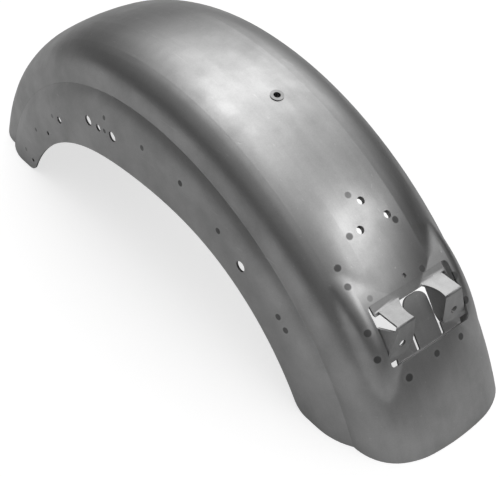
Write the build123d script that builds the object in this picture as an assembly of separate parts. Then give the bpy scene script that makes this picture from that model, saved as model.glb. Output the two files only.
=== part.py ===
# Rear fender of a motorcycle, pressed from sheet steel and left bare.
# It stands as an arch on its front tips and its rear edge: +Z up, +X to the tail,
# the origin on the floor below the middle of the arch. All lengths are in millimetres,
# and all angles in degrees about the wheel's axle, from the tail's horizontal upwards.
import math
import os
from build123d import *

# Crown: three arcs from the centre line to an upright wall
sheet = 1.9
crown_radius = 345.0
crown_half_width = 75.7
crown_tilt = 7.0
haunch_radius = 70.0
haunch_tilt = 29.5
shoulder_radius = 40.0
wall_height = 0.8

# Skirts: flat, outside the crown's walls, which they meet in a crease
skirt_half_width = 85.4
ledge_radius = 55.0
crease_fillet = 1.6

# Side view: both ends are cut on the floor, and the lower edge hangs lower in the middle
floor_above_axle = 115.4
skirt_edge_radius = 246.0
belly_drop = 15.0
belly_angle = 93.0
belly_spread = 28.0
skirt_corner_radius = 18.0

# Raised pad for the tail light: it is curved more than the crown, and so runs out into it
pad_angle = 40.0
pad_rise = 0.3
pad_radius = 130.0
pad_half_width = 61.0
pad_corner_radius = 14.0
pad_crease_fillet = 8.0

# Opening in the pad
opening_angle = 39.15
opening_width = 89.0
opening_height = 54.5
opening_corner_radius = 4.0

# Holes in both skirts: angle, and height above the skirt's edge radius
strut_bolt_hole = 10.3
strut_bolts = [(108.2, 22.1), (99.5, 16.3), (58.4, 23.6)]
trim_hole = 7.4
trim_screws = [(122.4, 18.7), (104.6, 18.4)]
pilot_hole = 4.4
pilots = [(131.7, 10.6), (148.8, 6.5)]

# Threaded insert for the seat's screw, crimped into the crown
seat_nut_angle = 75.4
seat_nut_body = 9.0
seat_nut_bore = 6.4
seat_nut_flange = 12.0
seat_nut_flange_height = 0.8
seat_nut_crimp = 12.5
seat_nut_crimp_height = 3.0
seat_nut_length = 13.0
seat_nut_clearance = 0.1

# Three holes for a rack or pillion pad, and one pilot hole above the opening
rack_hole = 7.0
rack_front_angle = 56.3
rack_rear_pitch = 20.2
rack_rear_half_spacing = 15.0
wire_hole = 4.0
wire_hole_above_opening = 6.4

# What is spot welded inside lies this far off the sheet
weld_gap = 0.25

# Rails inside the skirts, which back the strut bolts
rail_sheet = 2.5
rail_edge_margin = 2.5
rail_width = 37.5
rail_front_angle = 150.5
rail_rear_angle = 42.5
rail_end_radius = 9.0
rail_hole_clearance = 4.2

# Plate inside the crown, under the rack holes
rack_plate_sheet = 3.0
rack_plate_corner = 8.5
rack_plate_front_reach = 8.0
rack_plate_rear_reach = 3.0
rack_plate_side_reach = 7.5

# Tail light bracket, one folded sheet behind the opening
bracket_sheet = 2.0
flange_top = 16.0
flange_side = 11.0
flange_bottom = 19.5
foot_inset = 8.5
foot_window = 4.6
bracket_corner_radius = 4.0

# Tongue between the bracket's ears
tongue_half_width = 12.6
tongue_below_opening_top = 10.1
tongue_above_opening_foot = 1.0
tongue_corner_radius = 9.0
tongue_slit = 3.0
tongue_slit_corner = 1.2
tongue_gap = 0.8

# Ears: a level top, an upright face, and a side wall that leans out to the flange
ear_below_opening_top = 7.7
ear_depth = 23.2
ear_height = 28.0
ear_inside_opening = 9.0
ear_mouth = 4.7
ear_mouth_bow = 3.0
ear_side_lean = 15.0
ear_side_flare = 19.6
ear_bend_radius = 3.0
ear_side_bend_radius = 6.0
ear_relief = 5.5
ear_relief_fall = 4.0
ear_hole = 6.6
ear_hole_half_spacing = 29.5
ear_hole_below_top = 21.5

AXLE = Vector(0, 0, -floor_above_axle)
ACROSS = Vector(0, 1, 0)
REACH = crown_radius + skirt_half_width


def radial(angle):
    """Unit direction from the axle."""
    return Vector(math.cos(math.radians(angle)), 0, math.sin(math.radians(angle)))


def crown_plane(angle):
    """Plane on the crown's centre line: Z out, X down towards the tail, Y across."""
    out = radial(angle)
    return Plane(origin=AXLE + out * crown_radius, x_dir=ACROSS.cross(out), z_dir=out)


def polar(angle, radius):
    """Point of the side view."""
    point = AXLE + radial(angle) * radius
    return point.X, point.Z


def skirt_point(angle, rise):
    """Point of the side view, given above the skirt's edge radius."""
    return polar(angle, skirt_edge_radius + rise)


def on_arc(centre, radius, tilt):
    """Point of the half profile: radius from the axle, then distance from the middle."""
    turn = math.radians(tilt)
    return centre[0] + radius * math.cos(turn), centre[1] + radius * math.sin(turn)


def arc(centre, radius, start, end):
    """Arc of the half profile between two tilts."""
    tilts = (start, (start + end) / 2, end)
    return ThreePointArc(*[on_arc(centre, radius, tilt) for tilt in tilts])


def profile(inset):
    """Section of the solid inside the skin, one inset below it, from the axle out."""
    top_sine = math.sin(math.radians(crown_tilt))
    haunch_sine = math.sin(math.radians(haunch_tilt))
    haunch_reach = haunch_radius * (haunch_sine - top_sine)
    shoulder_reach = shoulder_radius * (1 - haunch_sine)
    top_radius = (crown_half_width - haunch_reach - shoulder_reach) / top_sine
    top_centre = (crown_radius - top_radius, 0)
    haunch_centre = on_arc(top_centre, top_radius - haunch_radius, crown_tilt)
    shoulder_centre = on_arc(haunch_centre, haunch_radius - shoulder_radius, haunch_tilt)

    wall = crown_half_width - inset
    crease = shoulder_centre[0] - wall_height
    ledge_middle = skirt_half_width - ledge_radius
    outer_tilt = math.acos((crown_half_width - ledge_middle) / ledge_radius)
    ledge_centre = (crease - ledge_radius * math.sin(outer_tilt), ledge_middle)
    tilt = 90 - math.degrees(math.acos((wall - ledge_middle) / (ledge_radius - inset)))
    ledge_top = on_arc(ledge_centre, ledge_radius - inset, tilt)
    skirt = skirt_half_width - inset

    half = Curve() + [
        arc(top_centre, top_radius - inset, 0, crown_tilt),
        arc(haunch_centre, haunch_radius - inset, crown_tilt, haunch_tilt),
        arc(shoulder_centre, shoulder_radius - inset, haunch_tilt, 90),
        Line((shoulder_centre[0], wall), ledge_top),
        arc(ledge_centre, ledge_radius - inset, tilt, 90),
        Line((ledge_centre[0], skirt), (0, skirt)),
    ]
    outline = half + mirror(half, about=Plane.XZ) + Line((0, skirt), (0, -skirt))
    face = make_face(outline)
    creases = [v for v in face.vertices() if abs(v.X - ledge_top[0]) < 0.01]
    return fillet(creases, crease_fillet + inset)


def hoop(inset):
    """The plain fender as a filled half disc, one inset below its skin."""
    turned = revolve(profile(inset), Axis((0, 0, 0), (0, -1, 0)), 180)
    return Pos(*AXLE) * turned


def pad_body(inset):
    """The pad as a filled disc whose rim is the pad's face."""
    disc = Cylinder(pad_radius - inset, 2 * (pad_half_width - inset))
    disc = fillet(disc.edges().filter_by(GeomType.CIRCLE), pad_corner_radius - inset)
    middle = AXLE + radial(pad_angle) * (crown_radius + pad_rise - pad_radius)
    return Pos(*middle) * Rot(90, 0, 0) * disc


def body(inset):
    """The fender with its pad, filled, one inset below its skin."""
    plain = hoop(inset)
    joined = plain + pad_body(inset)
    rim = crown_radius - pad_corner_radius - shoulder_radius
    seams = [
        e
        for e in joined.edges()
        if e.geom_type not in (GeomType.CIRCLE, GeomType.LINE)
        and (e.center() - AXLE).length > rim
    ]
    return fillet(seams, pad_crease_fillet + inset)


def upright(plane_face, half_width):
    """Face of the side view, run across the fender both ways."""
    return extrude(plane_face, half_width, both=True)


def side_outline():
    """Side view of the whole fender: above the floor and outside the wheel arch."""
    above = Pos(0, REACH / 2) * Rectangle(2 * REACH, REACH)
    points = []
    for angle in range(16, 165, 8):
        drop = belly_drop * math.exp(-(((angle - belly_angle) / belly_spread) ** 2))
        points.append(polar(angle, skirt_edge_radius - drop))
    arch = make_face([Spline(*points), Line(points[-1], points[0])])
    outline = above - arch
    corners = [v for v in outline.vertices() if abs(v.X) < skirt_edge_radius and v.Y < 0.01]
    return Plane.XZ * fillet(corners, skirt_corner_radius)


def skirt_holes(places, diameter):
    """Holes through both skirts."""
    drills = []
    for angle, rise in places:
        x, z = skirt_point(angle, rise)
        drills.append(Pos(x, 0, z) * Rot(90, 0, 0) * Cylinder(diameter / 2, 2 * REACH))
    return drills


def rack_holes(diameter):
    """Three parallel holes on the crown, one ahead of two."""
    plane = crown_plane(rack_front_angle)
    spots = [(0, 0)]
    spots += [(rack_rear_pitch, side * rack_rear_half_spacing) for side in (-1, 1)]
    return [plane * Pos(x, y) * Cylinder(diameter / 2, pad_radius) for x, y in spots]


def opening_cut():
    """Prism of the tail light opening."""
    frame = RectangleRounded(opening_height, opening_width, opening_corner_radius)
    return extrude(crown_plane(opening_angle) * frame, crown_half_width, both=True)


def fender_shell():
    """Crown, skirts and pad, one pressed sheet."""
    shell = body(0) - body(sheet)
    shell = shell & upright(side_outline(), REACH)
    shell = shell - opening_cut()
    holes = skirt_holes(strut_bolts, strut_bolt_hole)
    holes += skirt_holes(trim_screws, trim_hole)
    holes += skirt_holes(pilots, pilot_hole)
    holes += rack_holes(rack_hole)
    nut_hole = seat_nut_body / 2 + seat_nut_clearance
    holes.append(crown_plane(seat_nut_angle) * Cylinder(nut_hole, crown_half_width))
    wire_x = -opening_height / 2 - wire_hole_above_opening
    wire = crown_plane(opening_angle) * Pos(wire_x, 0) * Cylinder(wire_hole / 2, crown_half_width)
    holes.append(wire)
    return shell - holes


def liner(depth, thickness):
    """Sheet that follows the plain fender's inside."""
    return hoop(depth) - hoop(depth + thickness)


def skirt_rails():
    """Left and right strips along the inside of the skirts, cleared round the bolts."""
    inner = skirt_edge_radius + rail_edge_margin
    outer = inner + rail_width
    middle = (rail_front_angle + rail_rear_angle) / 2
    ends = (rail_rear_angle, middle, rail_front_angle)
    rim = ThreePointArc(*[polar(angle, outer) for angle in ends])
    foot = ThreePointArc(*[polar(angle, inner) for angle in ends])
    band = make_face([rim, foot, Line(rim @ 0, foot @ 0), Line(rim @ 1, foot @ 1)])
    band = Plane.XZ * fillet(band.vertices(), rail_end_radius)
    strip = liner(sheet + weld_gap, rail_sheet) & upright(band, REACH)
    strip = strip - skirt_holes(strut_bolts, strut_bolt_hole + rail_hole_clearance)
    strip = strip - skirt_holes(trim_screws, trim_hole + rail_hole_clearance)
    return strip.solids().sort_by(Axis.Y)


def rack_plate():
    """Rounded triangle welded inside the crown, under the rack holes."""
    side = rack_rear_half_spacing + rack_plate_side_reach
    rear = rack_rear_pitch + rack_plate_rear_reach
    spots = [(-rack_plate_front_reach, 0), (rear, -side), (rear, side)]
    corners = Sketch() + [Pos(x, y) * Circle(rack_plate_corner) for x, y in spots]
    triangle = crown_plane(rack_front_angle) * make_hull(corners.edges())
    plate = liner(sheet + weld_gap, rack_plate_sheet)
    plate = plate & extrude(triangle, crown_half_width, both=True)
    return plate - rack_holes(rack_hole)


def seat_nut():
    """Turned insert: flange on the crown, crimp below the sheet, plain bore."""
    body_r = seat_nut_body / 2
    crimp_r = seat_nut_crimp / 2
    under = -sheet - seat_nut_clearance
    outline = Polyline(
        (seat_nut_bore / 2, seat_nut_flange_height),
        (seat_nut_flange / 2, seat_nut_flange_height),
        (seat_nut_flange / 2, seat_nut_clearance / 2),
        (body_r, seat_nut_clearance / 2),
        (body_r, under),
        (crimp_r, under),
        (crimp_r, under - seat_nut_crimp_height / 2),
        (body_r, under - seat_nut_crimp_height),
        (body_r, -seat_nut_length),
        (seat_nut_bore / 2, -seat_nut_length),
        close=True,
    )
    turned = revolve(make_face(Plane.XZ * outline), Axis.Z, 360)
    return crown_plane(seat_nut_angle).location * turned


def bracket_plate():
    """The bracket's flat sheet behind the opening, with its tongue cut free."""
    depth = sheet + weld_gap
    half_height = opening_height / 2
    half_width = opening_width / 2
    side_end = half_height - foot_window
    top = -half_height - flange_top
    foot = half_height + flange_bottom
    wide = Pos((top + side_end) / 2, 0)
    wide = wide * Rectangle(side_end - top, 2 * (half_width + flange_side))
    narrow = Pos((top + foot) / 2, 0) * Rectangle(foot - top, 2 * (half_width - foot_inset))
    outline = wide + narrow
    outer = [v for v in outline.vertices() if abs(v.X - side_end) > 0.01 or abs(v.Y) > half_width]
    outline = fillet(outer, bracket_corner_radius)

    tongue_top = -half_height + tongue_below_opening_top
    root = half_height - tongue_above_opening_foot
    window_top = tongue_top - tongue_gap
    window = Pos((window_top + root) / 2, 0)
    window = window * Rectangle(root - window_top, 2 * (tongue_half_width + tongue_slit))
    ends = window.vertices().group_by(Axis.X)[-1]
    window = fillet(ends, tongue_slit_corner)
    tongue = Pos((tongue_top + root) / 2, 0) * Rectangle(root - tongue_top, 2 * tongue_half_width)
    tongue = fillet(tongue.vertices().group_by(Axis.X)[0], tongue_corner_radius)
    outline = outline - (window - tongue)

    prism = extrude(crown_plane(opening_angle) * outline, crown_half_width, both=True)
    return (body(depth) - body(depth + bracket_sheet)) & prism


def ear_corner():
    """Upper rear corner of an ear at its outer end."""
    skin = crown_radius - sheet - weld_gap
    above_middle = opening_height / 2 - ear_below_opening_top
    angle = opening_angle + math.degrees(math.asin(above_middle / crown_radius))
    x, z = polar(angle, skin)
    return Vector(x + ear_depth, opening_width / 2 - ear_inside_opening, z)


def ear_block(inset, mouth):
    """The right ear filled, one inset inside its outer faces, open towards the middle."""
    corner = ear_corner()
    length = 2 * (opening_width / 2 + flange_side)
    depth = 2 * ear_depth
    height = 2 * ear_height
    block = Box(depth, length, height, align=(Align.MAX, Align.MIN, Align.MAX))
    block = Pos(corner.X - inset, mouth, corner.Z - inset) * block
    lean = Vector(0, 0, -1).rotate(Axis.X, ear_side_lean)
    flare = Vector(-1, 0, 0).rotate(Axis.Z, -ear_side_flare)
    side = Plane(origin=corner, x_dir=lean, z_dir=lean.cross(flare))
    block = split(block, bisect_by=side.offset(-inset), keep=Keep.BOTTOM)
    top_bend = block.edges().group_by(Axis.Z)[-1].sort_by(Axis.X)[-1]
    block = fillet(top_bend, ear_bend_radius - inset)
    return block


def ear():
    """The right ear: a sheet shell, relieved between its top and its side wall."""
    corner = ear_corner()
    shell = ear_block(0, tongue_half_width) - ear_block(bracket_sheet, 0)
    root_x = corner.X - ear_depth
    tip = (corner.X + weld_gap, tongue_half_width + ear_mouth)
    start = (root_x, tongue_half_width)
    middle = ((root_x + corner.X) / 2, tongue_half_width + ear_mouth / 2 + ear_mouth_bow)
    mouth = make_face(
        [
            ThreePointArc(start, middle, tip),
            Polyline(tip, (corner.X + weld_gap, 0), (root_x, 0), start),
        ]
    )
    shell = shell - upright(Pos(0, 0, corner.Z) * mouth, 2 * ear_height)
    low = corner.Z - ear_relief
    under = corner.Z - bracket_sheet
    back = corner.X - 2 * ear_depth
    gap = Polyline(
        (corner.X - bracket_sheet, under),
        (corner.X - bracket_sheet, low),
        (root_x, low - ear_relief_fall),
        (back, low - ear_relief_fall),
        (back, under),
        close=True,
    )
    notch = extrude(Plane.XZ.offset(-corner.Y / 2) * make_face(gap), -REACH)
    above = Box(2 * ear_depth, REACH, bracket_sheet * 2, align=(Align.MAX, Align.MIN, Align.MIN))
    above = Pos(corner.X - bracket_sheet, corner.Y, under) * above
    shell = shell - notch - above
    return shell - body(sheet + weld_gap + bracket_sheet)


def tail_light_bracket():
    """Plate, tongue and two ears, folded from one sheet."""
    right = ear()
    hollow = ear_block(bracket_sheet, tongue_half_width)
    plate = bracket_plate() - hollow - mirror(hollow, about=Plane.XZ)
    bracket = plate + right + mirror(right, about=Plane.XZ)
    corner = ear_corner()
    for side in (-1, 1):
        place = Pos(corner.X, side * ear_hole_half_spacing, corner.Z - ear_hole_below_top)
        bracket = bracket - place * Rot(0, 90, 0) * Cylinder(ear_hole / 2, ear_depth)
    return bracket


left_rail, right_rail = skirt_rails()
pieces = {
    "fender_shell": fender_shell(),
    "left_skirt_rail": left_rail,
    "right_skirt_rail": right_rail,
    "rack_plate": rack_plate(),
    "seat_nut": seat_nut(),
    "tail_light_bracket": tail_light_bracket(),
}

os.makedirs("parts", exist_ok=True)
for name, piece in pieces.items():
    export_step(piece, f"parts/{name}.step")
    print(name, round(piece.volume / 1000, 2), "cm3", len(piece.solids()), "solids")
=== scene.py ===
# Rear fender of a motorcycle in bare pressed steel, on a pale studio floor.
# The frame's units are metres: +Z up, +X to the tail, the floor at z = 0.
import math

import bmesh
import bpy
from mathutils import Matrix, Vector


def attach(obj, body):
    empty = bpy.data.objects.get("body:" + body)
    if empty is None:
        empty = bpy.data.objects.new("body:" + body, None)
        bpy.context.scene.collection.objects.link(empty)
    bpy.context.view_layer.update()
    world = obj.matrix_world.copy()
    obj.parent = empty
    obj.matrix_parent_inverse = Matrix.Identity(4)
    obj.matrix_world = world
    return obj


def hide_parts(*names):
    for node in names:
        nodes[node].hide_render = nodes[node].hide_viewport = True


# Camera as fitted to the photo: in metres, the lens and the sensor in millimetres, the photo in pixels
CAMERA_PLACE = Vector((0.6731, -0.4988, 0.7436))
CAMERA_RIGHT = Vector((0.6324, 0.7745, -0.0128))
CAMERA_UP = Vector((-0.5084, 0.4275, 0.7475))
CAMERA_LENS = 80.15
SENSOR_WIDTH = 36.0
CLIP_END = 50.0
PHOTO_SIZE = (500, 477)

MM_PER_METRE = 1000

# The floor's paint, and how much of the white background is added where the camera sees it
FLOOR_SIZE = 12.0
FLOOR_PAINT = 0.5
FLOOR_WHITE = 0.7

# Spot welds where the photo shows them: pixels across and down, radius in millimetres, and how dark
CROWN_WELDS = [
    (348.0, 195.0, 3.2, 0.55),
    (349.5, 236.4, 3.3, 0.7),
    (395.3, 219.5, 3.5, 1.0),
    (337.6, 268.2, 3.3, 0.9),
    (347.8, 286.9, 3.3, 0.75),
    (370.0, 298.5, 3.0, 0.45),
    (422.1, 268.5, 3.4, 0.85),
    (453.8, 276.0, 4.2, 0.9),
    (465.7, 300.0, 3.8, 0.9),
    (367.6, 333.4, 3.5, 0.9),
    (377.5, 359.9, 3.5, 0.95),
    (409.4, 377.6, 3.8, 1.0),
    (437.0, 353.3, 3.3, 0.95),
    (460.9, 336.4, 3.3, 0.9),
]
SKIRT_WELDS = [
    (52.0, 116.0, 2.6, 0.5),
    (35.9, 129.6, 2.6, 0.6),
    (26.2, 149.0, 2.6, 0.5),
    (103.9, 117.8, 2.6, 0.7),
    (104.3, 131.0, 2.6, 0.8),
    (141.8, 148.0, 3.0, 0.7),
    (180.0, 183.4, 3.2, 0.9),
    (217.8, 231.0, 3.2, 0.8),
    (278.0, 317.1, 3.2, 0.8),
    (285.4, 330.5, 3.2, 0.8),
]

# Points on the pad's creases: pixels across and down in the photo, and how far round the point the
# crease is softened, in millimetres, so that it keeps clear of the opening's edge
CREASES = [
    (336.0, 275.0, 14),
    (345.5, 279.0, 14),
    (355.0, 282.5, 13),
    (364.0, 286.0, 8.5),
    (371.0, 288.5, 4),
    (398.2, 389.0, 10),
    (392.7, 398.3, 14),
    (386.2, 401.1, 14),
    (378.8, 396.5, 14),
    (371.4, 387.2, 14),
    (364.0, 374.3, 13),
    (356.6, 359.5, 12),
    (349.2, 342.8, 12),
    (342.7, 326.2, 12),
    (337.2, 307.7, 12),
]

# Share of that reach which is softened in full, and the rounding's radius in metres
CREASE_CORE = 0.55
CREASE_RADIUS = 0.009
CREASE_SAMPLES = 12

# Where a weld's dark middle and the ring round it fade out, in radii; how much darker the middle is,
# how much lighter the ring, and how much rougher the middle
WELD_FADE = (0.72, 1.08)
RING_FADE = (1.0, 1.7)
WELD_DARKER = 0.72
RING_LIGHTER = 0.03
WELD_ROUGHER = 0.2

# How much lighter a scratch is, and the relief of the grain and the scratches
SCRATCH_LIGHTER = 0.07
GRAIN_HEIGHT = 0.5
BUMP_STRENGTH = 0.25
BUMP_DISTANCE = 0.0002

# Soft studio lights: azimuth and elevation of the middle in degrees, how tight it is, and its
# strength; the last one is a dark wall that takes light away
LIGHTS = [
    (126, 42, 9, 1.35),
    (120, 39, 33, 0.3),
    (150, 58, 10, 0.7),
    (17, 47, 24, 1.5),
    (235, 80, 14, 0.25),
    (185, 79, 45, 0.95),
    (186, 68, 14, 0.8),
    (70, 12, 5, -0.17),
]
DARKEST = 0.01
WALLS = 0.055
CEILING = 0.72
CEILING_FALLOFF = 2.2

# Share of the white background that metal and glass mirror
WHITE_SHARE = 0.05

# Small soft box close above the tail, which the crown mirrors ahead of the opening: in metres, and
# its power in watts
BOX_PLACE = Vector((0.322, 0.094, 0.344))
BOX_AIM = Vector((0.205, -0.020, 0.155))
BOX_SIZE = (0.17, 0.10)
BOX_POWER = 0.08

# The copies' edges that turn by more than this many degrees are sharp
SHARP_ANGLE = 25
MERGE_DISTANCE = 1e-7

# Height of the wheel's axle, about which the fender curves, in millimetres
AXLE_HEIGHT = -115.4

# Windows in the skirts' rails round the bolt and trim holes, which show daylight in the photo: angle
# about the axle in degrees, distance from it and the window's radius in millimetres
RAIL_WINDOWS = [
    (108.2, 268.1, 13),
    (99.5, 262.3, 13),
    (58.4, 269.6, 13),
    (122.4, 264.7, 11),
    (104.6, 264.4, 11),
]
WINDOW_SEGMENTS = 48
WINDOW_DEPTH = 0.012
RAIL_SIDE = 82.0

# Open corners of the bracket beside its ears: the opening's angle about the axle, then each corner's
# span down and across from the opening's middle and out from the crown, in millimetres
OPENING_ANGLE = 39.15
CROWN_RADIUS = 345.0
CORNER_DOWN = (-28.3, -8.5)
CORNER_ACROSS = (40.5, 46.8)
CORNER_DEPTH = (-8.5, -1.5)


def cut_copy(nodes, node, name, cutters):
    """Adds a copy of a CAD piece with the cutters taken out, which stands for the node."""
    source = bpy.data.objects.new(name + "_source", nodes[node].data.copy())
    bpy.context.scene.collection.objects.link(source)
    shape = bmesh.new()
    shape.from_mesh(source.data)
    bmesh.ops.remove_doubles(shape, verts=shape.verts, dist=MERGE_DISTANCE)
    shape.to_mesh(source.data)
    shape.free()
    for cutter in cutters:
        cut = source.modifiers.new("cut", "BOOLEAN")
        cut.operation = "DIFFERENCE"
        cut.solver = "EXACT"
        cut.object = cutter
    bpy.context.view_layer.update()
    graph = bpy.context.evaluated_depsgraph_get()
    mesh = bpy.data.meshes.new_from_object(source.evaluated_get(graph))
    for thing in [source, *cutters]:
        bpy.data.objects.remove(thing)
    piece = bpy.data.objects.new(name, mesh)
    bpy.context.scene.collection.objects.link(piece)
    mesh.polygons.foreach_set("use_smooth", [True] * len(mesh.polygons))
    mesh.set_sharp_from_angle(angle=math.radians(SHARP_ANGLE))
    level = piece.modifiers.new("level", "WEIGHTED_NORMAL")
    level.keep_sharp = True
    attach(piece, "root")
    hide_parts(node)


def cutter_from(shape):
    """Object made of a finished bmesh, which is freed."""
    mesh = bpy.data.meshes.new("cutter")
    shape.to_mesh(mesh)
    shape.free()
    cutter = bpy.data.objects.new("cutter", mesh)
    bpy.context.scene.collection.objects.link(cutter)
    return cutter


def windows(side):
    """Round cutters through the rail of one side."""
    cutters = []
    for angle, away, radius in RAIL_WINDOWS:
        turn = math.radians(angle)
        height = away * math.sin(turn) + AXLE_HEIGHT
        place = Vector((away * math.cos(turn), side * RAIL_SIDE, height)) / MM_PER_METRE
        shape = bmesh.new()
        bmesh.ops.create_cone(
            shape,
            cap_ends=True,
            segments=WINDOW_SEGMENTS,
            radius1=radius / MM_PER_METRE,
            radius2=radius / MM_PER_METRE,
            depth=WINDOW_DEPTH,
            matrix=Matrix.Translation(place) @ Matrix.Rotation(math.pi / 2, 4, "X"),
        )
        cutters.append(cutter_from(shape))
    return cutters


def open_corners():
    """Box cutters that open the bracket's plate beside both ears."""
    turn = math.radians(OPENING_ANGLE)
    out = Vector((math.cos(turn), 0, math.sin(turn)))
    down = Vector((math.sin(turn), 0, -math.cos(turn)))
    across = Vector((0, 1, 0))
    crown = out * CROWN_RADIUS + Vector((0, 0, AXLE_HEIGHT))
    cutters = []
    for side in (-1, 1):
        spans = (CORNER_DOWN, [side * away for away in CORNER_ACROSS], CORNER_DEPTH)
        axes = [axis * abs(high - low) for axis, (low, high) in zip((down, across, out), spans)]
        place = crown
        for axis, (low, high) in zip((down, across, out), spans):
            place = place + axis * (low + high) / 2
        rows = [[column[i] / MM_PER_METRE for column in (*axes, place)] for i in range(3)]
        matrix = Matrix([*rows, [0, 0, 0, 1]])
        shape = bmesh.new()
        bmesh.ops.create_cube(shape, size=1.0, matrix=matrix)
        bmesh.ops.recalc_face_normals(shape, faces=shape.faces)
        cutters.append(cutter_from(shape))
    return cutters


def empty_tree(material):
    """Empty node tree of a new material, with its output node."""
    material.use_nodes = True
    tree = material.node_tree
    tree.nodes.clear()
    output = tree.nodes.new("ShaderNodeOutputMaterial")
    return tree, output


def camera_axes():
    """The camera's right, up and back, square to each other."""
    right = CAMERA_RIGHT.normalized()
    back = right.cross(CAMERA_UP).normalized()
    return right, back.cross(right), back


def place_camera():
    data = bpy.data.cameras.new("camera")
    data.sensor_width = SENSOR_WIDTH
    data.lens = CAMERA_LENS
    data.clip_end = CLIP_END
    camera = bpy.data.objects.new("camera", data)
    turn = Matrix(camera_axes()).transposed()
    camera.matrix_world = Matrix.Translation(CAMERA_PLACE) @ turn.to_4x4()
    bpy.context.scene.collection.objects.link(camera)
    bpy.context.scene.camera = camera


def direction(azimuth, elevation):
    turn = math.radians(azimuth)
    rise = math.radians(elevation)
    level = math.cos(rise)
    return Vector((level * math.cos(turn), level * math.sin(turn), math.sin(rise)))


def math_node(tree, operation, first, second, clamp=False):
    """Result of a math node whose inputs are sockets or plain numbers."""
    node = tree.nodes.new("ShaderNodeMath")
    node.operation = operation
    node.use_clamp = clamp
    for socket, value in zip(node.inputs, (first, second)):
        if isinstance(value, (int, float)):
            socket.default_value = value
        else:
            tree.links.new(value, socket)
    return node.outputs[0]


def vector_node(tree, operation, socket, vector, result):
    """Result of a vector math node between a socket and a plain vector."""
    node = tree.nodes.new("ShaderNodeVectorMath")
    node.operation = operation
    tree.links.new(socket, node.inputs[0])
    node.inputs[1].default_value = vector
    return node.outputs[result]


def highest(tree, masks):
    """Highest of several values at each point."""
    top = masks[0]
    for mask in masks[1:]:
        top = math_node(tree, "MAXIMUM", top, mask)
    return top


def background_share(tree, seen):
    """Share of the white background: what the camera sees of it, and less for metal and glass."""
    rays = tree.nodes.new("ShaderNodeLightPath")
    share = math_node(tree, "MULTIPLY", rays.outputs["Is Camera Ray"], seen)
    for ray in ("Is Glossy Ray", "Is Transmission Ray"):
        mirrored = math_node(tree, "MULTIPLY", rays.outputs[ray], WHITE_SHARE)
        share = math_node(tree, "ADD", share, mirrored)
    return share


def make_floor():
    """Pale floor that keeps the object's shadow and runs out into the white background."""
    mesh = bpy.data.meshes.new("floor")
    half = FLOOR_SIZE / 2
    corners = [(-half, -half, 0), (half, -half, 0), (half, half, 0), (-half, half, 0)]
    mesh.from_pydata(corners, [], [(0, 1, 2, 3)])
    floor = bpy.data.objects.new("floor", mesh)
    bpy.context.scene.collection.objects.link(floor)
    material = bpy.data.materials.new("floor")
    tree, output = empty_tree(material)
    paint = tree.nodes.new("ShaderNodeBsdfDiffuse")
    paint.inputs["Color"].default_value = (FLOOR_PAINT, FLOOR_PAINT, FLOOR_PAINT, 1)
    lift = tree.nodes.new("ShaderNodeEmission")
    tree.links.new(background_share(tree, FLOOR_WHITE), lift.inputs["Strength"])
    add = tree.nodes.new("ShaderNodeAddShader")
    tree.links.new(paint.outputs[0], add.inputs[0])
    tree.links.new(lift.outputs[0], add.inputs[1])
    tree.links.new(add.outputs[0], output.inputs["Surface"])
    mesh.materials.append(material)


def light_scene():
    """Dim walls, a lighter ceiling and soft lights; the camera sees plain white instead of them."""
    world = bpy.data.worlds.new("studio")
    bpy.context.scene.world = world
    world.use_nodes = True
    tree = world.node_tree
    tree.nodes.clear()
    output = tree.nodes.new("ShaderNodeOutputWorld")
    coords = tree.nodes.new("ShaderNodeTexCoord")
    view = coords.outputs["Generated"]
    split = tree.nodes.new("ShaderNodeSeparateXYZ")
    tree.links.new(view, split.inputs[0])
    height = math_node(tree, "MAXIMUM", split.outputs["Z"], 0)
    ceiling = math_node(tree, "POWER", height, CEILING_FALLOFF)
    total = math_node(tree, "ADD", math_node(tree, "MULTIPLY", ceiling, CEILING), WALLS)
    for azimuth, elevation, tight, strength in LIGHTS:
        cosine = vector_node(tree, "DOT_PRODUCT", view, direction(azimuth, elevation), "Value")
        facing = math_node(tree, "MAXIMUM", cosine, 0)
        glow = math_node(tree, "POWER", facing, tight)
        total = math_node(tree, "ADD", total, math_node(tree, "MULTIPLY", glow, strength))
    studio = tree.nodes.new("ShaderNodeBackground")
    tree.links.new(math_node(tree, "MAXIMUM", total, DARKEST), studio.inputs["Strength"])
    white = tree.nodes.new("ShaderNodeBackground")
    white.inputs["Color"].default_value = (1, 1, 1, 1)
    mix = tree.nodes.new("ShaderNodeMixShader")
    tree.links.new(background_share(tree, 1.0), mix.inputs["Fac"])
    tree.links.new(studio.outputs[0], mix.inputs[1])
    tree.links.new(white.outputs[0], mix.inputs[2])
    tree.links.new(mix.outputs[0], output.inputs["Surface"])


def hang_box():
    """Soft box that the camera doesn't see."""
    lamp = bpy.data.lights.new("soft_box", "AREA")
    lamp.shape = "RECTANGLE"
    lamp.size, lamp.size_y = BOX_SIZE
    lamp.energy = BOX_POWER
    box = bpy.data.objects.new("soft_box", lamp)
    turn = (BOX_AIM - BOX_PLACE).to_track_quat("-Z", "Y").to_matrix()
    box.matrix_world = Matrix.Translation(BOX_PLACE) @ turn.to_4x4()
    box.visible_camera = False
    bpy.context.scene.collection.objects.link(box)


def sight(across, down):
    """Direction in which the camera sees a point of the photo."""
    right, up, back = camera_axes()
    focal = CAMERA_LENS / SENSOR_WIDTH * PHOTO_SIZE[0]
    x = (across - PHOTO_SIZE[0] / 2) / focal
    y = (PHOTO_SIZE[1] / 2 - down) / focal
    return (right * x + up * y - back).normalized()


def seen_point(shell, across, down):
    """Point of the shell that the camera sees at a point of the photo."""
    hit, place, _, _ = shell.ray_cast(CAMERA_PLACE, sight(across, down))
    if not hit:
        raise ValueError(f"no steel is seen at {across}, {down}")
    return place.copy()


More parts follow.
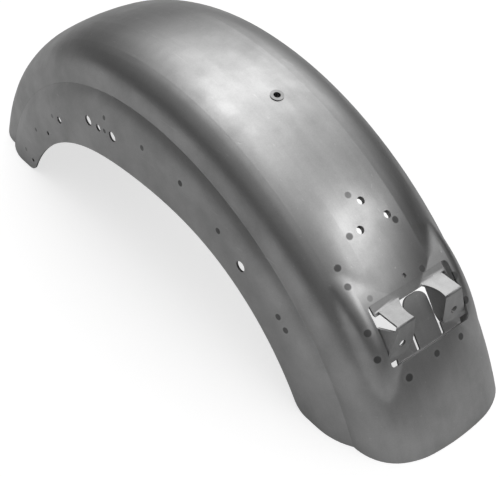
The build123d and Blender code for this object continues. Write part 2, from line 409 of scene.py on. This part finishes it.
def other_side(place):
    return Vector((place.x, -place.y, place.z))


def weld_places(shell):
    """Where the spot welds lie on the shell, with radius and darkness; the skirts' are mirrored."""
    places = []
    for mirrored, welds in ((False, CROWN_WELDS), (True, SKIRT_WELDS)):
        for across, down, radius, dark in welds:
            place = seen_point(shell, across, down)
            places.append((place, radius / MM_PER_METRE, dark))
            if mirrored:
                places.append((other_side(place), radius / MM_PER_METRE, dark))
    return places


def crease_places(shell):
    """Points along the pad's creases on both sides, with the reach of their softening."""
    places = []
    for across, down, reach in CREASES:
        place = seen_point(shell, across, down)
        places.append((place, reach / MM_PER_METRE))
        places.append((other_side(place), reach / MM_PER_METRE))
    return places


def noise(tree, vector, scale, detail, roughness):
    node = tree.nodes.new("ShaderNodeTexNoise")
    tree.links.new(vector, node.inputs["Vector"])
    node.inputs["Scale"].default_value = scale
    node.inputs["Detail"].default_value = detail
    node.inputs["Roughness"].default_value = roughness
    return node.outputs["Fac"]


def band(tree, value, low, high, to_low=0.0, to_high=1.0):
    """Value mapped from one range to another, clamped."""
    node = tree.nodes.new("ShaderNodeMapRange")
    node.interpolation_type = "SMOOTHSTEP"
    tree.links.new(value, node.inputs["Value"])
    numbers = {"From Min": low, "From Max": high, "To Min": to_low, "To Max": to_high}
    for name, number in numbers.items():
        node.inputs[name].default_value = number
    return node.outputs["Result"]


def turned(tree, vector, angles, scale):
    """Vector turned by angles in degrees and scaled along its axes."""
    node = tree.nodes.new("ShaderNodeMapping")
    tree.links.new(vector, node.inputs["Vector"])
    node.inputs["Rotation"].default_value = [math.radians(angle) for angle in angles]
    node.inputs["Scale"].default_value = scale
    return node.outputs["Vector"]


def scratches(tree, vector):
    """Mask of thin, short scratches that run in two directions."""
    masks = []
    for angles, scale in (((20, 35, 28), (7, 260, 260)), ((-40, 15, -52), (10, 330, 330))):
        field = noise(tree, turned(tree, vector, angles, scale), 1.0, 2.0, 0.6)
        masks.append(band(tree, field, 0.70, 0.76))
    return highest(tree, masks)


def weld_masks(tree, vector, places):
    """Masks of the welds' dark middles and of the faint rings round them."""
    spots = []
    halos = []
    for place, radius, strength in places:
        away = vector_node(tree, "DISTANCE", vector, place, "Value")
        spots.append(band(tree, away, radius * WELD_FADE[0], radius * WELD_FADE[1], strength, 0.0))
        halos.append(band(tree, away, radius * RING_FADE[0], radius * RING_FADE[1], strength, 0.0))
    dark = highest(tree, spots)
    return dark, math_node(tree, "SUBTRACT", highest(tree, halos), dark, clamp=True)


def softened(tree, vector, places):
    """Surface normal, rounded near the creases as in a soft pressing."""
    masks = []
    for place, reach in places:
        away = vector_node(tree, "DISTANCE", vector, place, "Value")
        masks.append(band(tree, away, reach * CREASE_CORE, reach, 1.0, 0.0))
    plain = tree.nodes.new("ShaderNodeNewGeometry")
    bevel = tree.nodes.new("ShaderNodeBevel")
    bevel.samples = CREASE_SAMPLES
    bevel.inputs["Radius"].default_value = CREASE_RADIUS
    mix = tree.nodes.new("ShaderNodeMix")
    mix.data_type = "VECTOR"
    tree.links.new(highest(tree, masks), mix.inputs["Factor"])
    vectors = [socket for socket in mix.inputs if socket.type == "VECTOR" and socket.enabled]
    tree.links.new(plain.outputs["Normal"], vectors[-2])
    tree.links.new(bevel.outputs["Normal"], vectors[-1])
    even = tree.nodes.new("ShaderNodeVectorMath")
    even.operation = "NORMALIZE"
    result = [socket for socket in mix.outputs if socket.type == "VECTOR" and socket.enabled][0]
    tree.links.new(result, even.inputs[0])
    return even.outputs["Vector"]


def steel(name, shade, roughness, welds=(), creases=()):
    """Bare sheet steel: smudged, lightly scratched and grained, with welds and soft creases if given."""
    material = bpy.data.materials.new(name)
    tree, output = empty_tree(material)
    shader = tree.nodes.new("ShaderNodeBsdfPrincipled")
    shader.inputs["Metallic"].default_value = 1.0
    coords = tree.nodes.new("ShaderNodeTexCoord")
    where = coords.outputs["Object"]

    smudge = noise(tree, where, 9.0, 5.0, 0.6)
    cloud = noise(tree, where, 28.0, 4.0, 0.65)
    grain = noise(tree, where, 900.0, 2.0, 0.5)
    streak = noise(tree, turned(tree, where, (0, 0, 0), (6, 60, 6)), 1.0, 4.0, 0.6)
    marks = scratches(tree, where)

    tone = math_node(tree, "ADD", band(tree, smudge, 0.3, 0.7, -0.05, 0.05), shade)
    tone = math_node(tree, "ADD", tone, band(tree, cloud, 0.3, 0.7, -0.025, 0.025))
    tone = math_node(tree, "ADD", tone, band(tree, streak, 0.35, 0.65, -0.02, 0.02))
    tone = math_node(tree, "ADD", tone, band(tree, grain, 0.3, 0.7, -0.015, 0.015))
    tone = math_node(tree, "ADD", tone, math_node(tree, "MULTIPLY", marks, SCRATCH_LIGHTER))
    rough = math_node(tree, "ADD", band(tree, smudge, 0.3, 0.7, 0.05, -0.04), roughness)
    rough = math_node(tree, "ADD", rough, band(tree, cloud, 0.3, 0.7, 0.03, -0.03))
    if welds:
        dark, ring = weld_masks(tree, where, welds)
        left = math_node(tree, "SUBTRACT", 1, math_node(tree, "MULTIPLY", dark, WELD_DARKER))
        tone = math_node(tree, "MULTIPLY", tone, left)
        tone = math_node(tree, "ADD", tone, math_node(tree, "MULTIPLY", ring, RING_LIGHTER))
        rough = math_node(tree, "ADD", rough, math_node(tree, "MULTIPLY", dark, WELD_ROUGHER))
    colour = tree.nodes.new("ShaderNodeCombineColor")
    for channel in range(3):
        tree.links.new(tone, colour.inputs[channel])
    tree.links.new(colour.outputs[0], shader.inputs["Base Color"])
    tree.links.new(rough, shader.inputs["Roughness"])

    bump = tree.nodes.new("ShaderNodeBump")
    bump.inputs["Strength"].default_value = BUMP_STRENGTH
    bump.inputs["Distance"].default_value = BUMP_DISTANCE
    height = math_node(tree, "SUBTRACT", math_node(tree, "MULTIPLY", grain, GRAIN_HEIGHT), marks)
    tree.links.new(height, bump.inputs["Height"])
    if creases:
        tree.links.new(softened(tree, where, creases), bump.inputs["Normal"])
    tree.links.new(bump.outputs[0], shader.inputs["Normal"])
    tree.links.new(shader.outputs[0], output.inputs["Surface"])
    return material


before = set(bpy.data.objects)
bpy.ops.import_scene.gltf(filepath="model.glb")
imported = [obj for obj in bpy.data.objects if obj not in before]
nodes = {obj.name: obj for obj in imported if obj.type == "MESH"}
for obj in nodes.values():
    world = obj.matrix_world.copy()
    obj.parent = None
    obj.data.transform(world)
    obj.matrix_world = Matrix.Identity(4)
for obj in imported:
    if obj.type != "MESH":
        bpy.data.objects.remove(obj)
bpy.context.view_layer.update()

place_camera()
make_floor()
light_scene()
hang_box()

shell = nodes["fender_shell"]
finishes = {
    "fender_shell": steel("bare_steel", 0.45, 0.34, weld_places(shell), crease_places(shell)),
    "tail_light_bracket": steel("bracket_steel", 0.4, 0.42),
    "seat_nut": steel("zinc_steel", 0.3, 0.35),
}
inner = steel("inner_steel", 0.4, 0.4)
for name, node in nodes.items():
    node.data.materials.clear()
    node.data.materials.append(finishes.get(name, inner))

cut_copy(nodes, "tail_light_bracket", "folded_bracket", open_corners())
cut_copy(nodes, "left_skirt_rail", "left_rail_strip", windows(-1))
cut_copy(nodes, "right_skirt_rail", "right_rail_strip", windows(1))

bpy.context.scene.view_settings.view_transform = "Standard"
